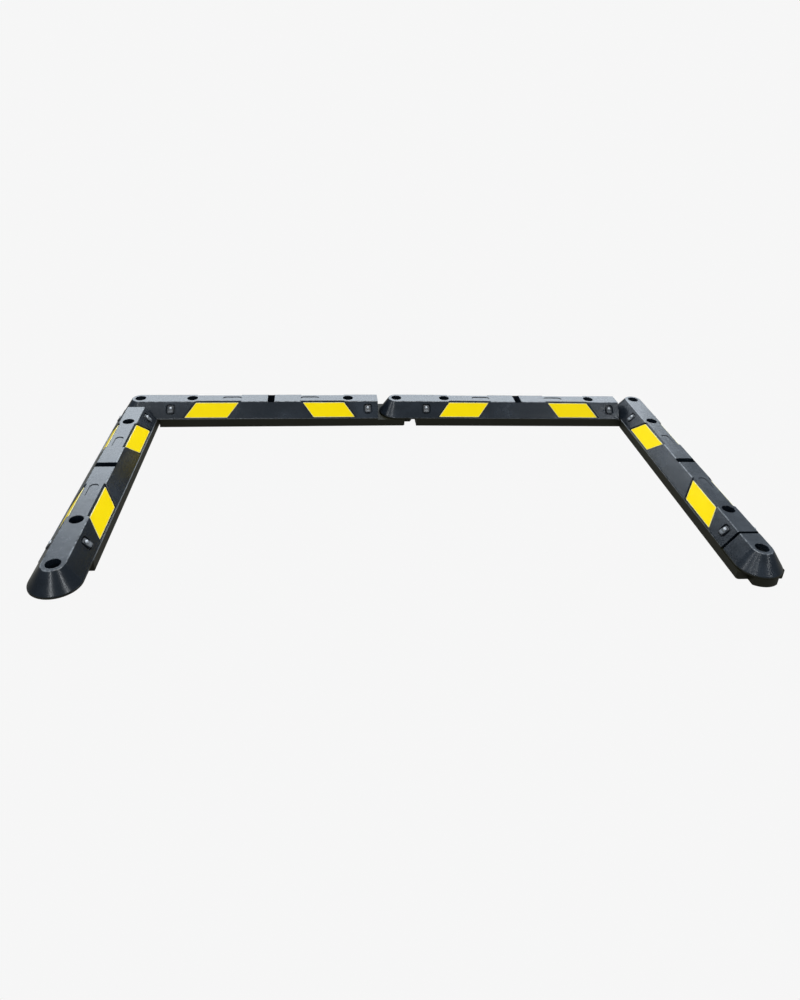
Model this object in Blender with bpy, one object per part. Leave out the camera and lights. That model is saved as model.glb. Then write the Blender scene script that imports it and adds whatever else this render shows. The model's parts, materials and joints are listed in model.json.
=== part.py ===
"""Modular rubber parking kerb: four lapped wheel-stop modules laid in a U, with an end cap.

Each module is one moulding. Its rounded nose is an upper layer that lies over the tail tongue of the
module before it, and one vertical bolt through both lets the two turn. A module's own frame has its
origin on the floor under its nose bolt, +X along the module to its tail bolt, and +Z up.
"""

import math

import bmesh
import bpy
from mathutils import Matrix, Vector

# Driving dimensions, in metres.
PIVOT_PITCH = 1.000  # from a module's nose bolt to its tail bolt
BODY_HEIGHT = 0.090  # floor to the flat top
BASE_WIDTH = 0.145  # across the upright plinth
TOP_WIDTH = 0.062  # across the flat top, at its sharp corners
PLINTH_HEIGHT = 0.034  # height of the upright sides
PLINTH_LEDGE = 0.002  # step from the plinth's side in to the foot of the slope
TOP_CHAMFER = 0.0012  # chamfer round the flat top
LAP_HEIGHT = 0.028  # underside of a nose
LAP_CLEARANCE = 0.0006  # between a nose and the tongue under it
SWING_CLEARANCE = 0.0055  # between a swinging module's side and its neighbour's end
NOSE_SETBACK = 0.0035  # how much shorter than wide the nose is at its foot
CAP_GAP = 0.010  # between the last module's square end and the end cap

# Tongue under the next nose.
TONGUE_CORNER_RADIUS = 0.008
TONGUE_TAB_WIDTH = 0.076
TONGUE_SWING_GAP = 0.0018  # between the tongue's corners and the next plinth, in any turn

# Bolt holes and the lap hardware.
COUNTERBORE_DIAMETER = 0.0385
COUNTERBORE_DEPTH = 0.045
BOLT_HOLE_DIAMETER = 0.0165
BOLT_DIAMETER = 0.014
BOLT_HEAD_FLATS = 0.022
BOLT_HEAD_HEIGHT = 0.009
WASHER_DIAMETER = 0.034
WASHER_THICKNESS = 0.003
WASHER_HOLE_CLEARANCE = 0.001  # washer's hole beyond the bolt, on the diameter
NUT_HEIGHT = 0.011
NUT_POCKET_DIAMETER = 0.032
NUT_POCKET_DEPTH = 0.015
THREAD_PROJECTION = 0.0015  # bolt end below the nut
CONTACT_GAP = 0.0003  # between pieces that touch
ANCHOR_HOLE_PLACE = 0.196  # share of the pitch, from either bolt

# Cross slot at mid-length.
SLOT_TOP_WIDTH = 0.026
SLOT_FLOOR_WIDTH = 0.024
SLOT_DEPTH = 0.038
SLOT_OVERHANG = 0.002  # how far its ends stand past the flat top's long edges

# Shallow rounded recesses on the flat top.
BADGE_PLACE = 0.348  # share of the pitch, from either bolt
BADGE_LENGTH = 0.072
BADGE_WIDTH = 0.026
BADGE_DEPTH = 0.0025

# Yellow reflective panels, measured in the plane of the slope.
PANEL_PLACE = 0.227  # share of the pitch, from mid-length
PANEL_LENGTH = 0.1625
PANEL_LEAN = 0.0424  # how far the panel's upper edge leans towards mid-length
PANEL_TOP_MARGIN = 0.0045  # from the slope's upper edge
PANEL_FOOT_MARGIN = 0.005  # from the slope's foot
PANEL_THICKNESS = 0.0022
RECESS_DEPTH = 0.005
RECESS_END_MARGIN = 0.006  # bare recess floor at the panel's leaning ends
RECESS_FOOT_MARGIN = 0.0025  # bare recess floor under the panel

# Cat's-eye reflectors, measured in the plane of the slope.
EYE_PLACE = 0.1185  # share of the pitch, from either bolt
EYE_DROP = 0.031  # pocket centre below the slope's upper edge
EYE_POCKET_WIDTH = 0.034
EYE_POCKET_HEIGHT = 0.038
EYE_POCKET_DEPTH = 0.007
EYE_POCKET_CORNER = 0.010
EYE_HOUSING_WIDTH = 0.022
EYE_HOUSING_HEIGHT = 0.030
EYE_HOUSING_CORNER = 0.005
EYE_HOUSING_FRONT = 0.002  # mean stand-out of the housing's face from the slope
EYE_HOUSING_TILT = 0.20  # rise of the face per length down the slope
EYE_BEAD_RADIUS = 0.0065
EYE_BEAD_PLACE = 0.004  # bead centre above the housing's centre
EYE_BEAD_SEAT = 0.001  # bead centre below the housing's face

# How the chain lies: the turn of each module from the line of the one before it, in degrees.
FIRST_HEADING = 89.6
TURNS = (-89.6, -1.3, -90.7)

# Roundness.
NOSE_STEPS = 20
CORNER_STEPS = 4
TAB_STEPS = 8
WIDE_HOLE_SIDES = 28
NARROW_HOLE_SIDES = 16
CUT_OVERRUN = 0.010  # how far a cutter runs past the face that it opens
SHARP_ANGLE = math.radians(35)

# Sizes that follow from those above.
BASE_HALF = BASE_WIDTH / 2
TOP_HALF = TOP_WIDTH / 2
FOOT_HALF = BASE_HALF - PLINTH_LEDGE
END_SETBACK = BASE_HALF + SWING_CLEARANCE
TAIL_END = PIVOT_PITCH - END_SETBACK
NOSE_REACH = FOOT_HALF - NOSE_SETBACK
SLOPE_RISE = BODY_HEIGHT - PLINTH_HEIGHT
SLOPE_RUN = FOOT_HALF - TOP_HALF
SLOPE_LENGTH = math.hypot(SLOPE_RISE, SLOPE_RUN)
PANEL_HEIGHT = SLOPE_LENGTH - PANEL_TOP_MARGIN - PANEL_FOOT_MARGIN
WASHER_BOTTOM = BODY_HEIGHT - COUNTERBORE_DEPTH + CONTACT_GAP
HEAD_BOTTOM = WASHER_BOTTOM + WASHER_THICKNESS + CONTACT_GAP
NUT_BOTTOM = NUT_POCKET_DEPTH - CONTACT_GAP - NUT_HEIGHT
MODULE_NAMES = ("left_arm", "back_left", "back_right", "right_arm")
SIDES = (("inner", -1), ("outer", 1))
ENDS = (("nose", -1), ("tail", 1))


def clear_scene():
    """Remove every object of the open file."""
    for item in list(bpy.data.objects):
        bpy.data.objects.remove(item)


def material(name, colour, roughness, metallic):
    """Return a new Principled BSDF material."""
    made = bpy.data.materials.new(name)
    made.use_nodes = True
    shader = made.node_tree.nodes["Principled BSDF"]
    shader.inputs["Base Color"].default_value = (*colour, 1.0)
    shader.inputs["Roughness"].default_value = roughness
    shader.inputs["Metallic"].default_value = metallic
    return made


def new_object(name, mesh, collection, finish=None, parent=None, frame=None):
    """Place a mesh in a collection, under a parent, at a frame given in the parent's space."""
    made = bpy.data.objects.new(name, mesh)
    collection.objects.link(made)
    if finish is not None and not mesh.materials:
        mesh.materials.append(finish)
    if parent is not None:
        made.parent = parent
    if frame is not None:
        made.matrix_basis = frame
    return made


def new_empty(name, collection, parent, frame):
    """Place an empty that carries the pieces of one module."""
    made = bpy.data.objects.new(name, None)
    collection.objects.link(made)
    made.parent = parent
    made.matrix_basis = frame
    return made


def mesh_from(name, work):
    """Turn a bmesh into a mesh with its faces pointing out."""
    work.normal_update()
    bmesh.ops.recalc_face_normals(work, faces=work.faces)
    made = bpy.data.meshes.new(name)
    work.to_mesh(made)
    work.free()
    return made


def combine(target, tool, operation):
    """Apply one exact Boolean to the target and remove the tool."""
    modifier = target.modifiers.new("combine", "BOOLEAN")
    modifier.operation = operation
    modifier.solver = "EXACT"
    modifier.object = tool
    depsgraph = bpy.context.evaluated_depsgraph_get()
    joined = bpy.data.meshes.new_from_object(target.evaluated_get(depsgraph))
    target.modifiers.clear()
    target.data = joined
    bpy.data.objects.remove(tool)


def finished_mesh(target):
    """Take the mesh of a worked solid, shade it and remove the object."""
    mesh = target.data
    mesh.materials.clear()
    mesh.shade_smooth()
    mesh.set_sharp_from_angle(angle=SHARP_ANGLE)
    bpy.data.objects.remove(target)
    return mesh


def loft(name, outlines, collection):
    """Close a solid through outlines of equal length, counter-clockwise from above, lowest first."""
    work = bmesh.new()
    rings = [[work.verts.new(point) for point in outline] for outline in outlines]
    work.faces.new(rings[0])
    work.faces.new(rings[-1])
    for lower, upper in zip(rings, rings[1:]):
        for here in range(len(lower)):
            there = (here + 1) % len(lower)
            work.faces.new((lower[here], lower[there], upper[there], upper[here]))
    return new_object(name, mesh_from(name, work), collection)


def flat_plate(name, outline, low, high, collection):
    """Extrude a flat outline between two heights, as a filled 2D curve made into a mesh."""
    curve = bpy.data.curves.new(name, "CURVE")
    curve.dimensions = "2D"
    curve.fill_mode = "BOTH"
    curve.extrude = (high - low) / 2
    spline = curve.splines.new("POLY")
    spline.points.add(len(outline) - 1)
    for point, place in zip(spline.points, outline):
        point.co = (place[0], place[1], 0.0, 1.0)
    spline.use_cyclic_u = True
    drawn = bpy.data.objects.new(name, curve)
    collection.objects.link(drawn)
    drawn.location.z = (low + high) / 2
    depsgraph = bpy.context.evaluated_depsgraph_get()
    depsgraph.update()
    mesh = bpy.data.meshes.new_from_object(drawn.evaluated_get(depsgraph))
    work = bmesh.new()
    work.from_mesh(mesh)
    bmesh.ops.remove_doubles(work, verts=work.verts, dist=CONTACT_GAP / 10)
    work.transform(drawn.matrix_world)
    bpy.data.objects.remove(drawn)
    return new_object(name, mesh_from(name, work), collection)


def block(name, size, centre, collection, frame=None):
    """A plain box of the given size about a centre, moved by a frame."""
    work = bmesh.new()
    bmesh.ops.create_cube(work, size=1.0)
    bmesh.ops.scale(work, vec=Vector(size), verts=work.verts)
    bmesh.ops.translate(work, vec=Vector(centre), verts=work.verts)
    if frame is not None:
        work.transform(frame)
    return new_object(name, mesh_from(name, work), collection)


def rounded_block(size, corner, low, high):
    """A bmesh box with its four upright edges rounded, between two heights."""
    work = bmesh.new()
    bmesh.ops.create_cube(work, size=1.0)
    bmesh.ops.scale(work, vec=(size[0], size[1], high - low), verts=work.verts)
    bmesh.ops.translate(work, vec=(0, 0, (low + high) / 2), verts=work.verts)
    upright = [edge for edge in work.edges if abs(edge.verts[0].co.z - edge.verts[1].co.z) > CONTACT_GAP]
    bmesh.ops.bevel(work, geom=upright, offset=corner, segments=CORNER_STEPS, affect="EDGES", profile=0.5)
    return work


def cylinder(name, diameter, low, high, sides, collection, centre=(0.0, 0.0)):
    """An upright cylinder, or a prism across its corners, between two heights."""
    work = bmesh.new()
    bmesh.ops.create_cone(
        work, cap_ends=True, segments=sides, radius1=diameter / 2, radius2=diameter / 2, depth=high - low
    )
    bmesh.ops.translate(work, vec=(centre[0], centre[1], (low + high) / 2), verts=work.verts)
    return new_object(name, mesh_from(name, work), collection)


def slope_frame(along, drop, side):
    """Frame on a sloped side: X along the module, Y down the slope, Z outward.

    along is the place on the module's length, drop the distance down from the slope's upper edge.
    """
    down = Vector((0.0, side * SLOPE_RUN, -SLOPE_RISE)) / SLOPE_LENGTH
    outward = Vector((0.0, side * SLOPE_RISE, SLOPE_RUN)) / SLOPE_LENGTH
    origin = Vector((along, side * TOP_HALF, BODY_HEIGHT)) + down * drop
    frame = Matrix((Vector((side, 0.0, 0.0)), down, outward)).transposed().to_4x4()
    frame.translation = origin
    return frame


def upper_outlines(tail):
    """Outlines of the upper layer: upright rim, slope and chamfered top, from a rounded nose to a tail."""
    chamfer_out = TOP_CHAMFER * SLOPE_RUN / SLOPE_RISE
    levels = (
        (LAP_HEIGHT, FOOT_HALF, NOSE_REACH),
        (PLINTH_HEIGHT, FOOT_HALF, NOSE_REACH),
        (BODY_HEIGHT - TOP_CHAMFER, TOP_HALF + chamfer_out, TOP_HALF + chamfer_out),
        (BODY_HEIGHT, TOP_HALF - TOP_CHAMFER, TOP_HALF - TOP_CHAMFER),
    )
    outlines = []
    for height, half, reach in levels:
        points = []
        for step in range(NOSE_STEPS + 1):
            angle = math.pi / 2 + math.pi * step / NOSE_STEPS
            points.append((reach * math.cos(angle), half * math.sin(angle), height))
        points.append((tail, -half, height))
        points.append((tail, half, height))
        outlines.append(points)
    return outlines


def arc(centre, radius, start, sweep, steps):
    """Points on an arc in the floor plane, angles in radians."""
    points = []
    for step in range(steps + 1):
        angle = start + sweep * step / steps
        points.append((centre[0] + radius * math.cos(angle), centre[1] + radius * math.sin(angle)))
    return points


def lower_outline():
    """Outline of the plinth and its tail tongue, counter-clockwise from above.

    The tongue is as wide as the plinth up to rounded corners that clear the next plinth in any turn,
    and ends in a narrower tab whose end is an arc about the tail bolt.
    """
    corner = TONGUE_CORNER_RADIUS
    corner_reach = END_SETBACK - TONGUE_SWING_GAP - corner
    corner_x = PIVOT_PITCH + math.sqrt(corner_reach**2 - (BASE_HALF - corner) ** 2)
    corner_y = BASE_HALF - corner
    tab_half = TONGUE_TAB_WIDTH / 2
    tab_angle = math.asin(tab_half / NOSE_REACH)
    quarter = math.pi / 2
    points = [(END_SETBACK, BASE_HALF), (END_SETBACK, -BASE_HALF)]
    points += arc((corner_x, -corner_y), corner, -quarter, quarter, CORNER_STEPS)
    points.append((corner_x + corner, -tab_half))
    points += arc((PIVOT_PITCH, 0.0), NOSE_REACH, -tab_angle, 2 * tab_angle, TAB_STEPS)
    points.append((corner_x + corner, tab_half))
    points += arc((corner_x, corner_y), corner, 0.0, quarter, CORNER_STEPS)
    return points


def cut_bolt_hole(body, along, floor, collection):
    """Cut one counterbored hole through a body whose underside there is at floor."""
    bore = cylinder(
        "bore",
        BOLT_HOLE_DIAMETER,
        floor - CUT_OVERRUN,
        BODY_HEIGHT + CUT_OVERRUN,
        NARROW_HOLE_SIDES,
        collection,
        (along, 0.0),
    )
    combine(body, bore, "DIFFERENCE")
    counterbore = cylinder(
        "counterbore",
        COUNTERBORE_DIAMETER,
        BODY_HEIGHT - COUNTERBORE_DEPTH,
        BODY_HEIGHT + CUT_OVERRUN,
        WIDE_HOLE_SIDES,
        collection,
        (along, 0.0),
    )
    combine(body, counterbore, "DIFFERENCE")


def cut_tongue_hole(body, collection):
    """Cut the tail tongue's bolt hole and the nut's pocket under it."""
    bore = cylinder(
        "tongue_bore",
        BOLT_HOLE_DIAMETER,
        -CUT_OVERRUN,
        BODY_HEIGHT,
        NARROW_HOLE_SIDES,
        collection,
        (PIVOT_PITCH, 0.0),
    )
    combine(body, bore, "DIFFERENCE")
    pocket = cylinder(
        "nut_pocket",
        NUT_POCKET_DIAMETER,
        -CUT_OVERRUN,
        NUT_POCKET_DEPTH,
        WIDE_HOLE_SIDES,
        collection,
        (PIVOT_PITCH, 0.0),
    )
    combine(body, pocket, "DIFFERENCE")


def cut_slot(body, collection):
    """Cut the deep slot across the flat top at mid-length.

    Its ends stand just past the top's long edges, so the slopes close it but for a low dip in each.
    """
    taper = (SLOT_TOP_WIDTH - SLOT_FLOOR_WIDTH) / 2 / SLOT_DEPTH
    reach = TOP_WIDTH / 2 + SLOT_OVERHANG
    outlines = []
    for height in (BODY_HEIGHT - SLOT_DEPTH, BODY_HEIGHT + CUT_OVERRUN):
        half = SLOT_FLOOR_WIDTH / 2 + taper * (height - BODY_HEIGHT + SLOT_DEPTH)
        corners = ((-half, -reach), (half, -reach), (half, reach), (-half, reach))
        outlines.append([(PIVOT_PITCH / 2 + x, y, height) for x, y in corners])
    combine(body, loft("slot", outlines, collection), "DIFFERENCE")


def cut_badge(body, along, collection):
    """Cut one shallow recess with rounded ends into the flat top."""
    corner = BADGE_WIDTH / 2 - CONTACT_GAP
    work = rounded_block((BADGE_LENGTH, BADGE_WIDTH), corner, BODY_HEIGHT - BADGE_DEPTH, BODY_HEIGHT + CUT_OVERRUN)
    bmesh.ops.translate(work, vec=(along, 0.0, 0.0), verts=work.verts)
    combine(body, new_object("badge", mesh_from("badge", work), collection), "DIFFERENCE")


def panel_block(length, top, foot, low, high, lean):
    """A bmesh box in the plane of the slope, sheared so that its upper edge leans along X.

    top and foot are distances down the slope, low and high are heights over it. The shear keeps the
    panel's middle line where it is.
    """
    middle = PANEL_TOP_MARGIN + PANEL_HEIGHT / 2
    work = bmesh.new()
    bmesh.ops.create_cube(work, size=1.0)
    bmesh.ops.scale(work, vec=(length, foot - top, high - low), verts=work.verts)
    bmesh.ops.translate(work, vec=(0.0, (top + foot) / 2, (low + high) / 2), verts=work.verts)
    for vertex in work.verts:
        vertex.co.x += lean * PANEL_LEAN * (middle - vertex.co.y) / PANEL_HEIGHT
    return work


def panel_centre(end):
    """Place of a panel's centre along the module, for the nose half (-1) or the tail half (1)."""
    return PIVOT_PITCH / 2 + end * PANEL_PLACE * PIVOT_PITCH


def eye_centre(end):
    """Place of a cat's-eye along the module, for the nose half (-1) or the tail half (1)."""
    return PIVOT_PITCH / 2 + end * (0.5 - EYE_PLACE) * PIVOT_PITCH


def cut_side_pockets(body, side, end, collection):
    """Cut one panel recess, open at the top edge, and one cat's-eye pocket."""
    recess = panel_block(
        PANEL_LENGTH + 2 * RECESS_END_MARGIN,
        -2 * CUT_OVERRUN,
        PANEL_TOP_MARGIN + PANEL_HEIGHT + RECESS_FOOT_MARGIN,
        -RECESS_DEPTH,
        2 * CUT_OVERRUN,
        -end * side,
    )
    recess.transform(slope_frame(panel_centre(end), 0.0, side))
    combine(body, new_object("recess", mesh_from("recess", recess), collection), "DIFFERENCE")
    pocket = rounded_block(
        (EYE_POCKET_WIDTH, EYE_POCKET_HEIGHT), EYE_POCKET_CORNER, -EYE_POCKET_DEPTH, CUT_OVERRUN
    )
    pocket.transform(slope_frame(eye_centre(end), EYE_DROP, side))
    combine(body, new_object("pocket", mesh_from("pocket", pocket), collection), "DIFFERENCE")


def module_mesh(collection):
    """The moulded rubber module."""
    body = flat_plate("module", lower_outline(), 0.0, PLINTH_HEIGHT, collection)
    upper = loft("upper", upper_outlines(TAIL_END + CUT_OVERRUN), collection)
    combine(body, upper, "UNION")
    lap_top = LAP_HEIGHT - LAP_CLEARANCE
    lap_length = PIVOT_PITCH + END_SETBACK - TAIL_END
    lap_cut = block(
        "lap_cut",
        (lap_length, 2 * BASE_WIDTH, BODY_HEIGHT),
        (TAIL_END + lap_length / 2, 0.0, lap_top + BODY_HEIGHT / 2),
        collection,
    )
    combine(body, lap_cut, "DIFFERENCE")
    cut_bolt_hole(body, 0.0, LAP_HEIGHT, collection)
    for along in (ANCHOR_HOLE_PLACE, 1.0 - ANCHOR_HOLE_PLACE):
        cut_bolt_hole(body, along * PIVOT_PITCH, 0.0, collection)
    cut_slot(body, collection)
    for along in (BADGE_PLACE, 1.0 - BADGE_PLACE):
        cut_badge(body, along * PIVOT_PITCH, collection)
    for _, side in SIDES:
        for _, end in ENDS:
            cut_side_pockets(body, side, end, collection)
    cut_tongue_hole(body, collection)
    return finished_mesh(body)


def cap_mesh(collection):
    """The rubber end cap: a short nose with a flat back, over the last tongue."""
    body = loft("cap", upper_outlines(END_SETBACK - CAP_GAP), collection)
    cut_bolt_hole(body, 0.0, LAP_HEIGHT, collection)
    return finished_mesh(body)


def panel_mesh(lean):
    """One yellow panel, seated on its recess floor, in the frame of the slope."""
    low = CONTACT_GAP - RECESS_DEPTH
    work = panel_block(
        PANEL_LENGTH, PANEL_TOP_MARGIN, PANEL_TOP_MARGIN + PANEL_HEIGHT, low, low + PANEL_THICKNESS, lean
    )
    return mesh_from("panel", work)


def eye_mesh(collection):
    """One cat's-eye: a housing whose face leans up out of the slope, and a glass bead in it."""
    work = rounded_block(
        (EYE_HOUSING_WIDTH, EYE_HOUSING_HEIGHT),
        EYE_HOUSING_CORNER,
        CONTACT_GAP - EYE_POCKET_DEPTH,
        EYE_HOUSING_FRONT,
    )
    for vertex in work.verts:
        if vertex.co.z > 0.0:
            vertex.co.z += EYE_HOUSING_TILT * vertex.co.y
    housing = new_object("cats_eye", mesh_from("cats_eye", work), collection)
    bead = bmesh.new()
    bmesh.ops.create_uvsphere(bead, u_segments=12, v_segments=8, radius=EYE_BEAD_RADIUS)
    face = EYE_HOUSING_FRONT - EYE_HOUSING_TILT * EYE_BEAD_PLACE
    bmesh.ops.translate(bead, vec=(0.0, -EYE_BEAD_PLACE, face - EYE_BEAD_SEAT), verts=bead.verts)
    combine(housing, new_object("bead", mesh_from("bead", bead), collection), "UNION")
    return finished_mesh(housing)


def across_corners(flats):
    """Diameter of a hexagon across its corners."""
    return flats / math.cos(math.pi / 6)


def bolt_mesh(collection):
    """Hexagon-headed lap bolt, head deep in the counterbore."""
    head = cylinder(
        "bolt", across_corners(BOLT_HEAD_FLATS), HEAD_BOTTOM, HEAD_BOTTOM + BOLT_HEAD_HEIGHT, 6, collection
    )
    shank = cylinder(
        "shank",
        BOLT_DIAMETER,
        NUT_BOTTOM - THREAD_PROJECTION,
        HEAD_BOTTOM + BOLT_HEAD_HEIGHT / 2,
        NARROW_HOLE_SIDES,
        collection,
    )
    combine(head, shank, "UNION")
    return finished_mesh(head)


def ring_mesh(name, outer, sides, hole, low, high, collection):
    """A washer or a nut: a prism with a round hole."""
    body = cylinder(name, outer, low, high, sides, collection)
    bore = cylinder("bore", hole, low - CUT_OVERRUN, high + CUT_OVERRUN, NARROW_HOLE_SIDES, collection)
    combine(body, bore, "DIFFERENCE")
    return finished_mesh(body)


def add_lap_hardware(name, meshes, steel, parent, collection):
    """Add the bolt, washer and nut of one lap on its parent's own axis."""
    for kind, mesh in meshes.items():
        new_object(f"{name}_{kind}", mesh, collection, steel, parent)


def add_side_fittings(name, panels, eye, finishes, parent, collection):
    """Add a module's four panels and four cat's-eyes."""
    for side_name, side in SIDES:
        for end_name, end in ENDS:
            lean = -end * side
            panel_frame = slope_frame(panel_centre(end), 0.0, side)
            panel_name = f"{name}_panel_{side_name}_{end_name}"
            new_object(panel_name, panels[lean], collection, finishes["yellow"], parent, panel_frame)
            eye_frame = slope_frame(eye_centre(end), EYE_DROP, side)
            eye_name = f"{name}_cats_eye_{side_name}_{end_name}"
            new_object(eye_name, eye, collection, finishes["eye"], parent, eye_frame)


def turned(along, degrees):
    """Frame a distance along X, turned about Z."""
    return Matrix.Translation((along, 0.0, 0.0)) @ Matrix.Rotation(math.radians(degrees), 4, "Z")


def centre_on_floor(root):
    """Move the root so that the whole kerb's box is centred over the world's origin."""
    bpy.context.view_layer.update()
    corners = []
    for item in bpy.data.objects:
        if item.type == "MESH":
            corners += [item.matrix_world @ vertex.co for vertex in item.data.vertices]
    middle_x = (min(c.x for c in corners) + max(c.x for c in corners)) / 2
    middle_y = (min(c.y for c in corners) + max(c.y for c in corners)) / 2
    root.matrix_basis = Matrix.Translation((-middle_x, -middle_y, 0.0)) @ root.matrix_basis


def build():
    """Build the whole kerb chain."""
    clear_scene()
    scene = bpy.context.scene
    collection = bpy.data.collections.new("parking_kerb")
    scene.collection.children.link(collection)
    finishes = {
        "rubber": material("black rubber", (0.035, 0.038, 0.042), 0.55, 0.0),
        "yellow": material("yellow reflective sheet", (0.92, 0.70, 0.01), 0.35, 0.0),
        "eye": material("cat's-eye glass", (0.75, 0.78, 0.80), 0.15, 0.0),
        "steel": material("zinc-plated steel", (0.62, 0.62, 0.60), 0.35, 1.0),
    }
    body = module_mesh(collection)
    panels = {lean: panel_mesh(lean) for lean in (-1, 1)}
    eye = eye_mesh(collection)
    hardware = {
        "bolt": bolt_mesh(collection),
        "washer": ring_mesh(
            "washer",
            WASHER_DIAMETER,
            WIDE_HOLE_SIDES,
            BOLT_DIAMETER + WASHER_HOLE_CLEARANCE,
            WASHER_BOTTOM,
            WASHER_BOTTOM + WASHER_THICKNESS,
            collection,
        ),
        "nut": ring_mesh(
            "nut",
            across_corners(BOLT_HEAD_FLATS),
            6,
            BOLT_DIAMETER + 2 * CONTACT_GAP,
            NUT_BOTTOM,
            NUT_BOTTOM + NUT_HEIGHT,
            collection,
        ),
    }
    carrier = None
    root = None
    for name, turn in zip(MODULE_NAMES, (FIRST_HEADING, *TURNS)):
        along = PIVOT_PITCH if carrier else 0.0
        carrier = new_empty(f"{name}_pivot", collection, carrier, turned(along, turn))
        if root is None:
            root = carrier
        else:
            add_lap_hardware(f"{name}_lap", hardware, finishes["steel"], carrier, collection)
        new_object(f"{name}_module", body, collection, finishes["rubber"], carrier)
        add_side_fittings(name, panels, eye, finishes, carrier, collection)
    cap_carrier = new_empty("end_cap_pivot", collection, carrier, turned(PIVOT_PITCH, 180.0))
    new_object("end_cap", cap_mesh(collection), collection, finishes["rubber"], cap_carrier)
    add_lap_hardware("end_cap", hardware, finishes["steel"], cap_carrier, collection)
    centre_on_floor(root)


build()
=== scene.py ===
"""Visual model of a modular rubber parking kerb that lies in a U.

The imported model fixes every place: the hinge axes, the modules' height and width, and the floor.
Each moulding, reflective sheet, cat's-eye and lap fastener is built again here with its rounded
edges and fine parts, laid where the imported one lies, and dressed in a procedural finish.
"""

import json
import logging
import math
from dataclasses import dataclass
from enum import Enum

import bmesh
import bpy
from mathutils import Matrix, Vector


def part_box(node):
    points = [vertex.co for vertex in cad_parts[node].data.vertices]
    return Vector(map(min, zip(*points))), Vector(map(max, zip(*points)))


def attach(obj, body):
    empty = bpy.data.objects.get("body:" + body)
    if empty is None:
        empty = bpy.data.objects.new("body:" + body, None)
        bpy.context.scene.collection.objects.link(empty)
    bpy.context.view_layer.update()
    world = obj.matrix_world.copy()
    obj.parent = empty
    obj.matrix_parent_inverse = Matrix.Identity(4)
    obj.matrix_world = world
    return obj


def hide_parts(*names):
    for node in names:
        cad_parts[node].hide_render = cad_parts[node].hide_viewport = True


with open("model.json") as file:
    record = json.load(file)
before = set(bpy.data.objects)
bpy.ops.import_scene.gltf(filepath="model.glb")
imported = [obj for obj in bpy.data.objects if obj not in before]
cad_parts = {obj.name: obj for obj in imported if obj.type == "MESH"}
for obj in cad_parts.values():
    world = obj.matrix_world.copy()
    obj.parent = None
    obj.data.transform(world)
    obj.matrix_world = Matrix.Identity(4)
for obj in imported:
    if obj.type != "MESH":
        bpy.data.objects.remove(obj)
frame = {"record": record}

Mesh = bpy.types.Mesh
Socket = bpy.types.NodeSocket
Solid = bmesh.types.BMesh

LOG = logging.getLogger("parking_kerb")
QUARTER = math.pi / 2
WELD_DISTANCE = 0.00001
FLAT_ANGLE = math.radians(0.4)  # faces that turn less than this are one face
SLAB_CORNER_STEPS = 5
LEAST_CORNER = 0.0002


class Side(Enum):
    """A long side of a module: towards the inside of the U, or away from it."""

    INNER = -1
    OUTER = 1


class End(Enum):
    """A half of a module: the half of its nose, or of its tail."""

    NOSE = -1
    TAIL = 1


class Module(Enum):
    """The four modules of the chain, by the bodies that carry them."""

    LEFT_ARM = "left_arm"
    BACK_LEFT = "back_left"
    BACK_RIGHT = "back_right"
    RIGHT_ARM = "right_arm"


# Shapes


def arc(centre: tuple, radius: float, start: float, sweep: float, steps: int) -> list:
    """Place points on an arc in a flat plane.

    Args:
        centre: The arc's centre.
        radius: Its radius.
        start: The angle of its first point, in radians.
        sweep: The angle that it covers.
        steps: How many pieces it is cut into.

    Returns:
        The points, first and last included.
    """
    points = []
    for step in range(steps + 1):
        angle = start + sweep * step / steps
        points.append((centre[0] + radius * math.cos(angle), centre[1] + radius * math.sin(angle)))
    return points


def eased(points: list, setback: float, steps: int = 3) -> list:
    """Round every inner corner of an open line of points.

    Args:
        points: The line's corners.
        setback: How far from a corner its rounding starts, on both legs.
        steps: How many pieces each rounding has.

    Returns:
        The rounded line's points.
    """
    line = [Vector(point) for point in points]
    rounded = [line[0]]
    for before, corner, after in zip(line, line[1:], line[2:]):
        first = corner + (before - corner).normalized() * min(setback, (before - corner).length / 2)
        last = corner + (after - corner).normalized() * min(setback, (after - corner).length / 2)
        for step in range(steps + 1):
            share = step / steps
            lower = first.lerp(corner, share)
            upper = corner.lerp(last, share)
            rounded.append(lower.lerp(upper, share))
    rounded.append(line[-1])
    return rounded


def lofted(rings: list, looped: bool = False) -> Solid:
    """Skin a closed solid over rings of equal length.

    Args:
        rings: Lists of points, from one end of the solid to the other.
        looped: Whether the last ring joins the first, in place of two end faces.

    Returns:
        The solid.
    """
    work = bmesh.new()
    rows = [[work.verts.new(point) for point in ring] for ring in rings]
    if looped:
        rows.append(rows[0])
    else:
        work.faces.new(rows[0])
        work.faces.new(rows[-1])
    for lower, upper in zip(rows, rows[1:]):
        for here in range(len(lower)):
            there = (here + 1) % len(lower)
            work.faces.new((lower[here], lower[there], upper[there], upper[here]))
    return work


def turned(profile: list, steps: int, along: float = 0.0, looped: bool = False) -> Solid:
    """Turn a profile of (radius, height) points about an upright axis.

    Args:
        profile: The profile's points.
        steps: How many sides the turned solid has.
        along: Where the axis stands on X.
        looped: Whether the profile closes on itself, as a washer's does.

    Returns:
        The turned solid.
    """
    rings = []
    for radius, height in profile:
        ring = arc((along, 0.0), radius, 0.0, 2 * math.pi, steps)[:-1]
        rings.append([(x, y, height) for x, y in ring])
    return lofted(rings, looped)


def placed(name: str, data: bpy.types.ID) -> bpy.types.Object:
    """Make an object of some data and put it in the scene.

    Args:
        name: The object's name.
        data: Its mesh, light or camera.

    Returns:
        The object.
    """
    made = bpy.data.objects.new(name, data)
    bpy.context.scene.collection.objects.link(made)
    return made


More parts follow.
